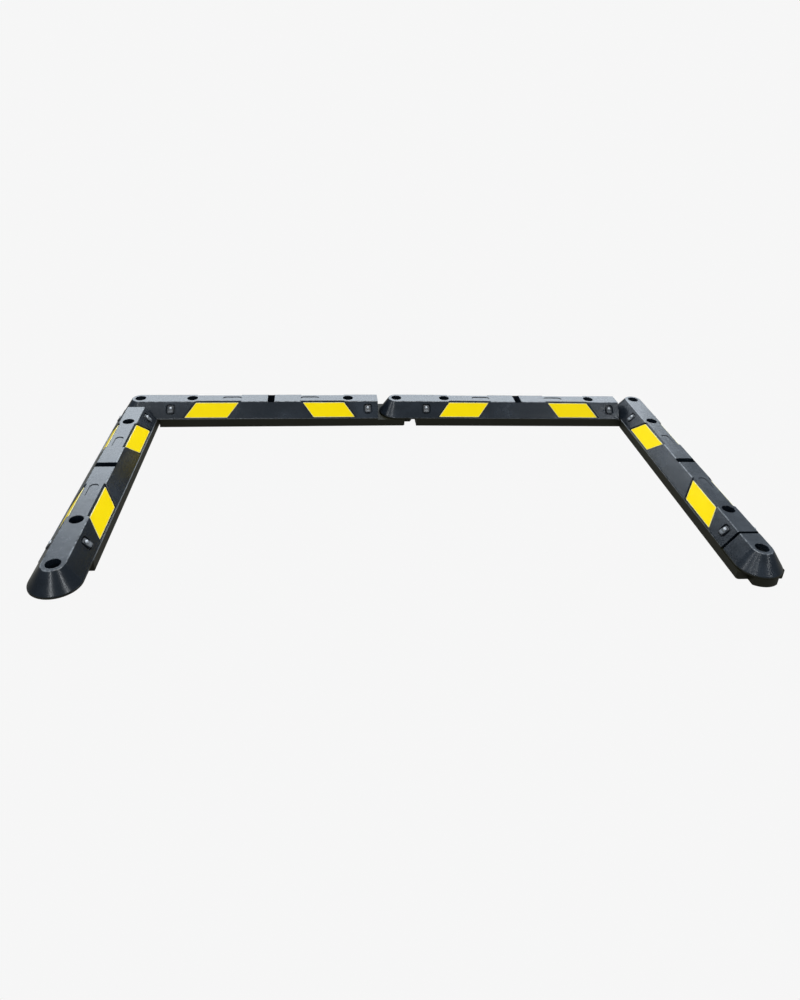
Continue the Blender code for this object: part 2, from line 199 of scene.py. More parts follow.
@dataclass(frozen=True)
class Slab:
    """A rounded slab that may lean as a parallelogram, in a plane with X along and Y down.

    Its fields are half of its length, its two edges, its corners' radius and how far it leans
    along the plane for each unit up it.
    """

    half: float
    low: float
    high: float
    corner: float
    lean: float = 0.0

    def outline(self, grow: float) -> list:
        """Outline the slab.

        Args:
            grow: How much larger the outline is drawn on every side.

        Returns:
            The outline's points, counter-clockwise.
        """
        radius = max(self.corner + grow, LEAST_CORNER)
        inner_x = self.half + grow - radius
        low_y = self.low - grow + radius
        high_y = self.high + grow - radius
        corners = ((inner_x, high_y), (-inner_x, high_y), (-inner_x, low_y), (inner_x, low_y))
        points = []
        for turn, corner in enumerate(corners):
            points += arc(corner, radius, turn * QUARTER, QUARTER, SLAB_CORNER_STEPS)
        middle = (self.low + self.high) / 2
        return [(x + self.lean * (middle - y), y) for x, y in points]

    def ring(self, grow: float, level: float, along: float = 0.0, tilt: float = 0.0) -> list:
        """Raise the outline to a level."""
        return [(x + along, y, level + tilt * y) for x, y in self.outline(grow)]

    def loft(self, levels: tuple, along: float = 0.0) -> Solid:
        """Loft a solid through outlines at several levels."""
        return lofted([self.ring(grow, level, along) for grow, level in levels])


class Form:
    """A solid in the making, joined and cut by exact Booleans."""

    def __init__(self, work: Solid, frame_of: Matrix | None = None) -> None:
        """Take over a bmesh.

        Args:
            work: The solid.
            frame_of: The frame that it is moved by, if any.
        """
        if frame_of is not None:
            work.transform(frame_of)
        work.normal_update()
        bmesh.ops.recalc_face_normals(work, faces=work.faces)
        mesh = bpy.data.meshes.new("form")
        work.to_mesh(mesh)
        work.free()
        self.object = placed("form", mesh)

    def combine(self, tool: "Form", operation: str) -> "Form":
        """Apply one Boolean with another solid, which is used up.

        Args:
            tool: The other solid.
            operation: UNION, DIFFERENCE or INTERSECT.

        Returns:
            This solid.
        """
        modifier = self.object.modifiers.new("combine", "BOOLEAN")
        modifier.operation = operation
        modifier.solver = "EXACT"
        modifier.object = tool.object
        joined = self.evaluated()
        self.object.modifiers.clear()
        self.object.data = joined
        bpy.data.objects.remove(tool.object)
        return self

    def evaluated(self) -> Mesh:
        """Apply the solid's modifiers."""
        depsgraph = bpy.context.evaluated_depsgraph_get()
        return bpy.data.meshes.new_from_object(self.object.evaluated_get(depsgraph))

    def cut(self, work: Solid, frame_of: Matrix | None = None) -> "Form":
        """Cut a bmesh solid out of this one."""
        return self.combine(Form(work, frame_of), "DIFFERENCE")

    def join(self, work: Solid, frame_of: Matrix | None = None) -> "Form":
        """Join a bmesh solid to this one."""
        return self.combine(Form(work, frame_of), "UNION")

    def finished(self, name: str, ease: float = 0.0, angle: float = 40.0) -> Mesh:
        """Ease the last sharp edges, shade the solid and give up its mesh.

        Args:
            name: The mesh's name.
            ease: The width of a bevel on its sharp edges, or 0 for none.
            angle: The least angle between two faces, in degrees, that counts as sharp.

        Returns:
            The mesh.
        """
        work = bmesh.new()
        work.from_mesh(self.object.data)
        bmesh.ops.remove_doubles(work, verts=work.verts, dist=WELD_DISTANCE)
        bmesh.ops.dissolve_limit(work, angle_limit=FLAT_ANGLE, verts=work.verts, edges=work.edges)
        if ease > 0.0:
            least = math.radians(angle)
            whole = [edge for edge in work.edges if edge.is_manifold]
            sharp = [edge for edge in whole if edge.calc_face_angle(0.0) > least]
            bmesh.ops.bevel(
                work,
                geom=sharp,
                offset=ease,
                segments=2,
                profile=0.6,
                affect="EDGES",
                clamp_overlap=True,
            )
        rough = bpy.data.meshes.new(name)
        work.to_mesh(rough)
        work.free()
        rough.materials.clear()
        rough.shade_smooth()
        rough.set_sharp_from_angle(angle=math.radians(angle))
        self.object.data = rough
        weighting = self.object.modifiers.new("flat faces stay flat", "WEIGHTED_NORMAL")
        weighting.keep_sharp = True
        weighting.weight = 100
        mesh = self.evaluated()
        mesh.name = name
        bpy.data.objects.remove(self.object)
        return mesh


# Where things lie


@dataclass(frozen=True)
class Place:
    """Where a moulding lies: the foot of its nose bolt's axis, and its heading in radians."""

    pivot: Vector
    heading: float

    def matrix(self) -> Matrix:
        """Give the moulding's own frame."""
        return Matrix.Translation(self.pivot) @ Matrix.Rotation(self.heading, 4, "Z")

    def reversed_at(self, along: float) -> "Place":
        """Give a place further along, that heads back."""
        step = Vector((math.cos(self.heading), math.sin(self.heading), 0.0)) * along
        return Place(self.pivot + step, self.heading + math.pi)


class Layout:
    """The places of the four modules and the end cap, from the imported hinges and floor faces."""

    def __init__(self, record: dict) -> None:
        """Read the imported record.

        Args:
            record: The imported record.
        """
        joints = record["behaviour"]["joints"]
        hinges = {joint["name"]: self.on_floor(joint["pos_m"]) for joint in joints}
        faces = {mount["name"]: self.on_floor(mount["pos_m"]) for mount in record["mounts"]}
        left = hinges["left_corner_hinge"]
        middle = hinges["middle_hinge"]
        right = hinges["right_corner_hinge"]
        self.pitch = (middle - left).length
        arm = self.heading(faces["left_arm_floor_face"], left)
        back = Vector((math.cos(arm), math.sin(arm), 0.0)) * self.pitch
        self.modules = {
            Module.LEFT_ARM: Place(left - back, arm),
            Module.BACK_LEFT: Place(left, self.heading(left, middle)),
            Module.BACK_RIGHT: Place(middle, self.heading(middle, right)),
            Module.RIGHT_ARM: Place(right, self.heading(right, faces["right_arm_floor_face"])),
        }
        self.cap = self.modules[Module.RIGHT_ARM].reversed_at(self.pitch)

    @staticmethod
    def on_floor(point: list) -> Vector:
        """Drop a point to the floor."""
        return Vector((point[0], point[1], 0.0))

    @staticmethod
    def heading(start: Vector, end: Vector) -> float:
        """Find the way from one point to another."""
        return math.atan2(end.y - start.y, end.x - start.x)


@dataclass(frozen=True)
class Section:
    """The kerb's cross-section, its laps and what fits in them, in metres."""

    height: float
    base_half: float
    pitch: float
    top_half: float = 0.031
    ledge: float = 0.002
    plinth: float = 0.034
    lap: float = 0.028
    lap_gap: float = 0.0006
    swing: float = 0.0055
    nose_setback: float = 0.0035
    cap_gap: float = 0.010
    seat_height: float = 0.045
    nut_pocket_depth: float = 0.015
    contact_gap: float = 0.0003

    @property
    def foot_half(self) -> float:
        """Find half of the width at the slope's foot."""
        return self.base_half - self.ledge

    @property
    def end_setback(self) -> float:
        """Find how far a square end is from the lap bolt that it faces."""
        return self.base_half + self.swing

    @property
    def run(self) -> float:
        """Find how far the slope goes sideways."""
        return self.foot_half - self.top_half

    @property
    def rise(self) -> float:
        """Find how far the slope goes down."""
        return self.height - self.plinth

    @property
    def slope(self) -> float:
        """Find the slope's length, from the top's edge to its foot."""
        return math.hypot(self.run, self.rise)

    def reach(self, half: float) -> float:
        """Give how far the nose reaches at the level where the section is so wide."""
        return half - self.nose_setback * (half - self.top_half) / self.run

    def slope_frame(self, along: float, drop: float, side: Side) -> Matrix:
        """Give a frame on a sloped side: X along the module, Y down the slope, Z outward.

        Args:
            along: Place on the module's length.
            drop: Distance down from the slope's upper edge.
            side: Which slope.

        Returns:
            The frame, in the module's own frame.
        """
        way = side.value
        down = Vector((0.0, way * self.run, -self.rise)) / self.slope
        outward = Vector((0.0, way * self.rise, self.run)) / self.slope
        frame_of = Matrix((Vector((way, 0.0, 0.0)), down, outward)).transposed().to_4x4()
        frame_of.translation = Vector((along, way * self.top_half, self.height)) + down * drop
        return frame_of


# Finishes


class Graph:
    """The node graph of one material or world, grown node by node."""

    def __init__(self, holder: bpy.types.Material | bpy.types.World) -> None:
        """Start on the holder's own nodes.

        Args:
            holder: The material or world.
        """
        holder.use_nodes = True
        self.holder = holder
        self.tree = holder.node_tree

    @property
    def shader(self) -> bpy.types.Node:
        """Find a material's surface shader."""
        return self.tree.nodes["Principled BSDF"]

    def dress(self, **values: object) -> None:
        """Set or link the surface shader's inputs."""
        for name, value in values.items():
            self.feed(self.shader.inputs[name.replace("_", " ")], value)

    def add(self, kind: str, inputs: dict | None = None, **settings: object) -> bpy.types.Node:
        """Add one node.

        Args:
            kind: The node's type, without ShaderNode.
            inputs: Values or sockets for its inputs, by name or number.
            settings: Values for its own properties.

        Returns:
            The node.
        """
        node = self.tree.nodes.new("ShaderNode" + kind)
        for key, value in settings.items():
            setattr(node, key, value)
        for key, value in (inputs or {}).items():
            self.feed(node.inputs[key], value)
        return node

    def feed(self, socket: Socket, value: object) -> None:
        """Link a socket to an input, or set the input's value.

        Args:
            socket: The input.
            value: A socket, a number, a colour or a vector.
        """
        if isinstance(value, Socket):
            self.tree.links.new(value, socket)
        else:
            socket.default_value = value

    def math(self, operation: str, first: object, second: object = 0.0) -> Socket:
        """Add a math node and give its result."""
        return self.add("Math", {0: first, 1: second}, operation=operation).outputs[0]

    def times(self, first: object, second: object) -> Socket:
        """Add a node that multiplies two values, and give its result."""
        return self.math("MULTIPLY", first, second)

    def fade(self, value: object, low: float, high: float) -> Socket:
        """Give 0 below one value and 1 above another, with a smooth step between."""
        inputs = {"Value": value, "From Min": low, "From Max": high}
        return self.add("MapRange", inputs, interpolation_type="SMOOTHSTEP").outputs[0]

    def span(self, value: object, low: float, high: float) -> Socket:
        """Stretch a value from 0 to 1 over another range."""
        return self.add("MapRange", {"Value": value, "To Min": low, "To Max": high}).outputs[0]

    def blend(self, share: object, first: object, second: object) -> Socket:
        """Mix two colours."""
        return self.add("Mix", {0: share, 6: first, 7: second}, data_type="RGBA").outputs[2]

    def noise(self, place: object, scale: float, detail: float, rough: float) -> Socket:
        """Add a noise texture."""
        inputs = {"Vector": place, "Scale": scale, "Detail": detail, "Roughness": rough}
        return self.add("TexNoise", inputs).outputs["Fac"]

    def stretched(self, place: object, factors: tuple) -> Socket:
        """Scale coordinates along each axis."""
        return self.add("Mapping", {"Vector": place, "Scale": factors}).outputs[0]

    def bumps(self, layers: list) -> None:
        """Stack bump layers and give them to the shader.

        Args:
            layers: Pairs of a height's socket and its depth in metres, coarse first.
        """
        normal = None
        for height, depth in layers:
            inputs = {"Height": height, "Distance": depth, "Strength": 1.0}
            if normal is not None:
                inputs["Normal"] = normal
            normal = self.add("Bump", inputs).outputs[0]
        self.dress(Normal=normal)


def rgb(red: float, green: float, blue: float) -> tuple[float, float, float, float]:
    """Make an opaque colour."""
    return (red, green, blue, 1.0)


@dataclass(frozen=True)
class MouldedRubber:
    """Moulded recycled rubber: crumb grain, cloudy bloom, a dusty top with painted sheen, painted
    highlight lines along the edges, dirty plinth.
    """

    section: Section
    black: tuple = rgb(0.0038, 0.0064, 0.0100)
    bloom: tuple = rgb(0.015, 0.021, 0.030)
    # top colour: real dust plus a painted sheen, standing in for the top's reflection of the bright
    # surroundings
    dust_and_sheen: tuple = rgb(0.070, 0.078, 0.088)
    dirt: tuple = rgb(0.0125, 0.0118, 0.0055)
    # light grey of the crumb specks, and of the painted highlight lines along the edges
    crumb_and_highlight: tuple = rgb(0.220, 0.240, 0.260)
    least_rough: float = 0.15
    most_rough: float = 0.33
    scatter: float = 9.0  # metres between the patterns of two mouldings
    cloud_scale: float = 7.0
    crumb_scale: float = 520.0
    grain_scale: float = 330.0
    patch_scale: float = 60.0
    smear_stretch: tuple = (3.0, 26.0, 26.0)
    smear_share: float = 0.35
    dirt_share: float = 0.9
    # how much dust and painted sheen the top takes, and the heights where it fades in
    least_dust_and_sheen: float = 0.30
    most_dust_and_sheen: float = 0.75
    dust_and_sheen_from: float = 0.082  # height over the floor
    dust_and_sheen_to: float = 0.086
    speck_share: float = 0.08
    # strength and width of the painted highlight lines along the top and foot edges
    top_highlight: float = 0.80
    foot_highlight: float = 0.18
    top_highlight_width: float = 0.0036
    foot_highlight_width: float = 0.0030
    gloss: float = 0.5
    dirty_gloss: float = 0.30
    hidden_gloss_loss: float = 0.26
    cloud_depth: float = 0.0012
    grain_depth: float = 0.00006
    crumb_depth: float = 0.00005

    def edge_line(
        self, graph: Graph, radial: Socket, height: Socket, edge: tuple, width: float
    ) -> Socket:
        """Mark the surface near one long edge of the moulding.

        Args:
            graph: The material.
            radial: Distance from the moulding's middle line, or from its nose axis.
            height: Height over the floor.
            edge: The edge's distance from the middle line, and its height.
            width: How far the mark reaches.

        Returns:
            The mark's socket.
        """
        across = graph.math("SUBTRACT", radial, edge[0])
        up = graph.math("SUBTRACT", height, edge[1])
        return graph.fade(self.length(graph, across, up), width, 0.0)

    @staticmethod
    def length(graph: Graph, first: object, second: object) -> Socket:
        """Find the length of a flat vector."""
        squares = [graph.times(part, part) for part in (first, second)]
        return graph.math("SQRT", graph.math("ADD", *squares))

    def build(self) -> bpy.types.Material:
        """Make the material.

        Returns:
            The material.
        """
        graph = Graph(bpy.data.materials.new("moulded rubber"))
        shape = self.section
        own = graph.add("TexCoord").outputs["Object"]
        chance = graph.add("ObjectInfo").outputs["Random"]
        spread = graph.add("CombineXYZ", {0: graph.times(chance, self.scatter), 1: chance})
        shifted = graph.add("VectorMath", {0: own, 1: spread.outputs[0]}, operation="ADD")
        place = shifted.outputs[0]
        along, across, height = graph.add("SeparateXYZ", {0: own}).outputs
        radial = self.length(graph, graph.math("MINIMUM", along, 0.0), across)
        normal = graph.add("NewGeometry").outputs["Normal"]
        upward = graph.add("SeparateXYZ", {0: normal}).outputs[2]

        clouds = graph.noise(place, self.cloud_scale, 6.0, 0.62)
        smears = graph.noise(graph.stretched(place, self.smear_stretch), 1.0, 4.0, 0.6)
        crumbs = graph.noise(place, self.crumb_scale, 2.0, 0.6)
        patches = graph.noise(place, self.patch_scale, 3.0, 0.7)
        cells = graph.add("TexVoronoi", {"Vector": place, "Scale": self.grain_scale})
        grains = cells.outputs["Distance"]

        colour = graph.blend(graph.fade(clouds, 0.40, 0.72), self.black, self.bloom)
        smeared = graph.times(graph.fade(smears, 0.5, 0.75), self.smear_share)
        colour = graph.blend(smeared, colour, self.bloom)
        under_slope = graph.fade(height, shape.plinth + 0.001, shape.plinth - 0.002)
        low = graph.times(under_slope, self.dirt_share)
        colour = graph.blend(low, colour, self.dirt)
        # Painted sheen with dust: upward faces on the top are lightened in place of their reflection of
        # the surroundings.
        on_top = graph.fade(height, self.dust_and_sheen_from, self.dust_and_sheen_to)
        top = graph.times(graph.fade(upward, 0.80, 0.97), on_top)
        amount = graph.span(graph.fade(clouds, 0.3, 0.7), self.least_dust_and_sheen, self.most_dust_and_sheen)
        colour = graph.blend(graph.times(top, amount), colour, self.dust_and_sheen)
        speck = graph.times(graph.fade(crumbs, 0.60, 0.74), self.speck_share)
        colour = graph.blend(speck, colour, self.crumb_and_highlight)
        # Painted highlights: patchy light lines along the top and foot edges, in place of the rounded
        # edges' reflection of the sky.
        edges = (
            ((shape.top_half, shape.height), self.top_highlight_width, self.top_highlight),
            ((shape.foot_half, shape.plinth), self.foot_highlight_width, self.foot_highlight),
        )
        lines = []
        for edge, width, share in edges:
            lines.append(graph.times(self.edge_line(graph, radial, height, edge, width), share))
        edge_highlight = graph.math("MAXIMUM", *lines)
        patchy_highlight = graph.times(edge_highlight, graph.fade(patches, 0.36, 0.62))
        colour = graph.blend(patchy_highlight, colour, self.crumb_and_highlight)

        mottle = graph.math("ADD", clouds, graph.times(crumbs, 0.25))
        rough = graph.span(mottle, self.least_rough, self.most_rough)
        rough = graph.math("ADD", rough, graph.times(low, 0.25))
        hidden = graph.times(low, graph.fade(upward, 0.70, 0.95))
        gloss = graph.span(low, self.gloss, self.dirty_gloss)
        gloss = graph.math("SUBTRACT", gloss, graph.times(hidden, self.hidden_gloss_loss))
        graph.dress(Base_Color=colour, Roughness=rough, Specular_IOR_Level=gloss)
        layers = [(clouds, self.cloud_depth), (grains, self.grain_depth)]
        graph.bumps([*layers, (crumbs, self.crumb_depth)])
        return graph.holder


@dataclass(frozen=True)
class ReflectiveSheet:
    """Yellow prismatic sheeting: small diamond cells under a clear skin, with faint soiling."""

    yellow: tuple = rgb(0.930, 0.700, 0.001)
    warm: tuple = rgb(0.880, 0.620, 0.001)
    soil: tuple = rgb(0.300, 0.230, 0.050)
    cells: float = 150.0
    cell_share: float = 0.16
    cloud_scale: float = 24.0
    cloud_share: float = 0.30
    soil_scale: float = 90.0
    soil_share: float = 0.5
    least_rough: float = 0.28
    most_rough: float = 0.42
    gloss: float = 0.06
    coat: float = 0.02
    coat_rough: float = 0.15
    cloud_depth: float = 0.0004
    cell_depth: float = 0.00004

    def build(self) -> bpy.types.Material:
        """Make the material.

        Returns:
            The material.
        """
        graph = Graph(bpy.data.materials.new("reflective sheet"))
        own = graph.add("TexCoord").outputs["Object"]
        heights = []
        for turn in (math.pi / 4, -math.pi / 4):
            laid = graph.add("Mapping", {"Vector": own, "Rotation": (0.0, 0.0, turn)}).outputs[0]
            wave = graph.add("TexWave", {"Vector": laid, "Scale": self.cells}, wave_type="BANDS")
            heights.append(wave.outputs["Fac"])
        cell = graph.math("MINIMUM", *heights)
        clouds = graph.noise(own, self.cloud_scale, 4.0, 0.6)
        soiled = graph.noise(own, self.soil_scale, 5.0, 0.7)
        colour = self.yellow
        layers = (
            (graph.fade(clouds, 0.35, 0.7), self.cloud_share, self.warm),
            (graph.fade(cell, 0.30, 0.02), self.cell_share, self.warm),
            (graph.fade(soiled, 0.66, 0.84), self.soil_share, self.soil),
        )
        for mask, share, tone in layers:
            colour = graph.blend(graph.times(mask, share), colour, tone)
        rough = graph.span(soiled, self.least_rough, self.most_rough)
        graph.dress(Base_Color=colour, Roughness=rough, Specular_IOR_Level=self.gloss)
        graph.dress(Coat_Weight=self.coat, Coat_Roughness=self.coat_rough)
        graph.bumps([(clouds, self.cloud_depth), (cell, self.cell_depth)])
        return graph.holder


@dataclass(frozen=True)
class Speckled:
    """A plain moulded, cut or cast finish: two close shades in a fine cloud, and an uneven gloss."""

    name: str
    light: tuple
    dark: tuple
    scale: float
    least_rough: float
    most_rough: float
    metallic: float = 0.0
    coat: float = 0.0
    grain: float = 0.00005

    def build(self) -> bpy.types.Material:
        """Make the material.

        Returns:
            The material.
        """
        graph = Graph(bpy.data.materials.new(self.name))
        own = graph.add("TexCoord").outputs["Object"]
        clouds = graph.noise(own, self.scale, 4.0, 0.6)
        fine = graph.noise(own, self.scale * 9.0, 2.0, 0.6)
        colour = graph.blend(graph.fade(clouds, 0.35, 0.65), self.dark, self.light)
        mixed = graph.times(graph.math("ADD", clouds, fine), 0.5)
        rough = graph.span(mixed, self.least_rough, self.most_rough)
        graph.dress(Base_Color=colour, Roughness=rough, Metallic=self.metallic, Coat_Weight=self.coat)
        graph.bumps([(clouds, self.grain * 2.0), (fine, self.grain)])
        return graph.holder


CUT_EDGE = Speckled("sheet cut edge", rgb(0.86, 0.83, 0.52), rgb(0.66, 0.58, 0.22), 200.0, 0.35, 0.55)
GLASS_BEAD = Speckled(
    "silvered bead", rgb(0.50, 0.53, 0.56), rgb(0.34, 0.37, 0.40), 260.0, 0.05, 0.12, 0.15, 1.0
)
EYE_HOUSING = Speckled(
    "eye housing", rgb(0.024, 0.028, 0.034), rgb(0.009, 0.011, 0.014), 420.0, 0.24, 0.42
)
EYE_WINDOW = Speckled(
    "eye window", rgb(0.10, 0.11, 0.12), rgb(0.05, 0.055, 0.06), 300.0, 0.22, 0.38, 0.1
)
ZINC = Speckled(
    "zinc plated steel", rgb(0.66, 0.65, 0.60), rgb(0.50, 0.50, 0.49), 160.0, 0.28, 0.46, 1.0
)


# Pieces


@dataclass
class Bench:
    """Puts finished meshes in place as pieces of the kerb."""

    layout: Layout
    count: int = 0

    def lay(
        self, name: str, mesh: Mesh, frame_of: Matrix, body: Module, slot: str, node: str
    ) -> None:
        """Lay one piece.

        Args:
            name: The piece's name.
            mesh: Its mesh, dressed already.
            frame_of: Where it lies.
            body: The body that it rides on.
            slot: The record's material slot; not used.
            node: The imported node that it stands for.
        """
        piece = placed(name, mesh)
        piece.matrix_world = frame_of
        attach(piece, body.value)
        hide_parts(node)
        self.count += 1


@dataclass
class Mouldings:
    """The four rubber modules and the end cap."""

    section: Section
    nose_steps: int = 56
    hole_steps: int = 56
    bore_radius: float = 0.00825
    counterbore_radius: float = 0.01925
    seat_chamfer: float = 0.0008
    mouth_chamfer: float = 0.0016
    anchor_share: float = 0.196
    nut_pocket_radius: float = 0.016
    pocket_chamfer: float = 0.001
    plinth_corner: float = 0.002
    tongue_corner: float = 0.008
    tongue_gap: float = 0.0018
    tab_half: float = 0.038
    slot_top_half: float = 0.013
    slot_floor_half: float = 0.012
    slot_depth: float = 0.038
    slot_overhang: float = 0.002
    slot_corner: float = 0.0035
    badge_share: float = 0.348
    badge_half: float = 0.036
    badge_radius: float = 0.013
    badge_depth: float = 0.0025
    rim_inset: float = 0.0015
    top_inset: float = 0.008
    edge_setback: float = 0.0026
    ease: float = 0.0006
    overrun: float = 0.010

    def outline(self, half: float, tail: float, height: float) -> list:
        """Outline of the upper layer at one level.

        Args:
            half: Half of its width.
            tail: Where its tail end is.
            height: The level.

        Returns:
            The outline's points.
        """
        reach = self.section.reach(half)
        points = []
        for x, y in arc((0.0, 0.0), 1.0, QUARTER, math.pi, self.nose_steps):
            points.append((reach * x, half * y, height))
        points.append((tail, -half, height))
        points.append((tail, half, height))
        return points

    def upper(self, tail: float) -> Solid:
        """Loft the upper layer: upright rim, slope and flat top, with rounded long edges.

        Args:
            tail: Where its tail end is.

        Returns:
            The solid.
        """
        shape = self.section
        corners = [
            (shape.foot_half - self.rim_inset, shape.lap, 0.0),
            (shape.foot_half, shape.lap, 0.0),
            (shape.foot_half, shape.plinth, 0.0),
            (shape.top_half, shape.height, 0.0),
            (shape.top_half - self.top_inset, shape.height, 0.0),
        ]
        profile = eased(corners, self.edge_setback, 4)
        return lofted([self.outline(point.x, tail, point.y) for point in profile])

    def lower_outline(self, inset: float, height: float) -> list:
        """Outline of the plinth and its tail tongue at one level.

        Args:
            inset: How much smaller it is drawn on every side.
            height: The level.

        Returns:
            The outline's points.
        """
        shape = self.section
        half = shape.base_half - inset
        corner = self.tongue_corner - inset
        corner_y = half - corner
        reach = shape.end_setback - self.tongue_gap - self.tongue_corner
        corner_x = shape.pitch + math.sqrt(reach**2 - corner_y**2)
        tab = self.tab_half - inset
        round_end = shape.reach(shape.foot_half) - inset
        spread = math.asin(tab / round_end)
        small = self.plinth_corner - inset / 2
        front = shape.end_setback + inset
        points = arc((front + small, half - small), small, QUARTER, QUARTER, 3)
        points += arc((front + small, small - half), small, 2 * QUARTER, QUARTER, 3)
        points += arc((corner_x, -corner_y), corner, -QUARTER, QUARTER, 8)
        points.append((corner_x + corner, -tab))
        points += arc((shape.pitch, 0.0), round_end, -spread, 2 * spread, 20)
        points.append((corner_x + corner, tab))
        points += arc((corner_x, corner_y), corner, 0.0, QUARTER, 8)
        return [(x, y, height) for x, y in points]

    def lower(self) -> Solid:
        """Loft the plinth and tongue, with rounded bottom and top edges.

        Returns:
            The solid.
        """
        top = self.section.plinth
        levels = ((0.0009, 0.0), (0.0002, 0.0003), (0.0, 0.0010))
        levels += ((0.0, top - 0.0010), (0.0003, top - 0.0003), (0.0010, top))
        return lofted([self.lower_outline(inset, height) for inset, height in levels])

    def bolt_hole(self, along: float, floor: float) -> Solid:
        """Turn the cutter of a counterbored hole with a chamfered mouth.

        Args:
            along: Where the hole is.
            floor: The underside of the body there.

        Returns:
            The cutter.
        """
        top = self.section.height
        seat = self.section.seat_height
        over = self.overrun
        wide = self.counterbore_radius
        profile = [
            (self.bore_radius, floor - over),
            (self.bore_radius, seat - self.seat_chamfer),
            (self.bore_radius + self.seat_chamfer, seat),
            (wide - 0.001, seat),
            (wide, seat + 0.001),
            (wide, top - self.mouth_chamfer),
            (wide + 0.3 * self.mouth_chamfer, top - 0.4 * self.mouth_chamfer),
            (wide + self.mouth_chamfer + over, top + over),
        ]
        return turned(profile, self.hole_steps, along)

    def tongue_hole(self) -> Solid:
        """Turn the cutter of the tongue's bolt hole and nut pocket.

        Returns:
            The cutter.
        """
        wide = self.nut_pocket_radius
        deep = self.section.nut_pocket_depth
        profile = [
            (wide + self.pocket_chamfer, -self.overrun),
            (wide + self.pocket_chamfer, 0.0),
            (wide, self.pocket_chamfer),
            (wide, deep),
            (self.bore_radius, deep),
            (self.bore_radius, self.section.height),
        ]
        return turned(profile, self.hole_steps, self.section.pitch)

    def cross_slot(self) -> Solid:
        """Loft the cutter of the slot across the flat top, with a rounded floor and an eased mouth.

        Returns:
            The cutter.
        """
        top = self.section.height
        floor = top - self.slot_depth
        taper = (self.slot_top_half - self.slot_floor_half) / self.slot_depth
        middle = self.section.pitch / 2
        reach = self.section.top_half + self.slot_overhang
        levels = ((-0.0030, floor), (-0.0009, floor + 0.0009), (0.0, floor + 0.0030))
        levels += ((0.0, top - 0.0016), (0.0003, top - 0.0004), (0.0010, top + 0.0003))
        levels += ((0.0010, top + self.overrun),)
        rings = []
        for grow, height in levels:
            half = self.slot_floor_half + taper * (height - floor)
            rings.append(Slab(half, -reach, reach, self.slot_corner).ring(grow, height, middle))
        return lofted(rings)

    def badge(self, along: float) -> Solid:
        """Loft the cutter of a shallow blank recess with round ends, in the flat top.

        Args:
            along: Where its centre is.

        Returns:
            The cutter.
        """
        top = self.section.height
        floor = top - self.badge_depth
        radius = self.badge_radius
        levels = ((-0.0012, floor), (-0.0004, floor + 0.0003), (0.0, top - 0.0006))
        levels += ((0.0008, top + 0.0002), (0.0008, top + self.overrun))
        return Slab(self.badge_half, -radius, radius, radius - 0.0003).loft(levels, along)

    def module(self, fittings: "Fittings") -> Form:
        """Join and cut one module.

        Args:
            fittings: The sheets and cat's-eyes whose pockets are cut.

        Returns:
            The module's solid.
        """
        shape = self.section
        tail = shape.pitch - shape.end_setback
        over = self.overrun
        body = Form(self.lower()).join(self.upper(tail + over))
        lap_top = shape.lap - shape.lap_gap
        length = 3 * shape.base_half
        step = bmesh.new()
        bmesh.ops.create_cube(step, size=1.0)
        bmesh.ops.scale(step, vec=(length, 4 * shape.base_half, shape.height), verts=step.verts)
        middle = (tail + length / 2, 0.0, lap_top + shape.height / 2)
        bmesh.ops.translate(step, vec=middle, verts=step.verts)
        body.cut(step)
        body.cut(self.bolt_hole(0.0, shape.lap))
        for share in (self.anchor_share, 1.0 - self.anchor_share):
            body.cut(self.bolt_hole(share * shape.pitch, 0.0))
        body.cut(self.tongue_hole())
        body.cut(self.cross_slot())
        for share in (self.badge_share, 1.0 - self.badge_share):
            body.cut(self.badge(share * shape.pitch))
        for side in Side:
            for end in End:
                fittings.cut_pockets(body, side, end)
        return body

    def lay(self, bench: Bench, fittings: "Fittings", rubber: bpy.types.Material) -> None:
        """Build, dress and lay the modules and the cap.

        Args:
            bench: Where pieces are laid.
            fittings: The sheets and cat's-eyes whose pockets are cut.
            rubber: The rubber.
        """
        mesh = self.module(fittings).finished("module", self.ease)
        mesh.materials.append(rubber)
        for module, place in bench.layout.modules.items():
            name = f"{module.value}_moulding"
            bench.lay(name, mesh, place.matrix(), module, "rubber", f"{module.value}_module")
        back = self.section.end_setback - self.section.cap_gap
        cap = Form(self.upper(back)).cut(self.bolt_hole(0.0, self.section.lap))
        cap = cap.finished("cap", self.ease)
        cap.materials.append(rubber)
        matrix = bench.layout.cap.matrix()
        bench.lay("end_cap_moulding", cap, matrix, Module.RIGHT_ARM, "rubber", "end_cap")
        counts = (len(mesh.polygons), len(cap.polygons))
        LOG.info("rubber: four modules of %d faces and a cap of %d", *counts)


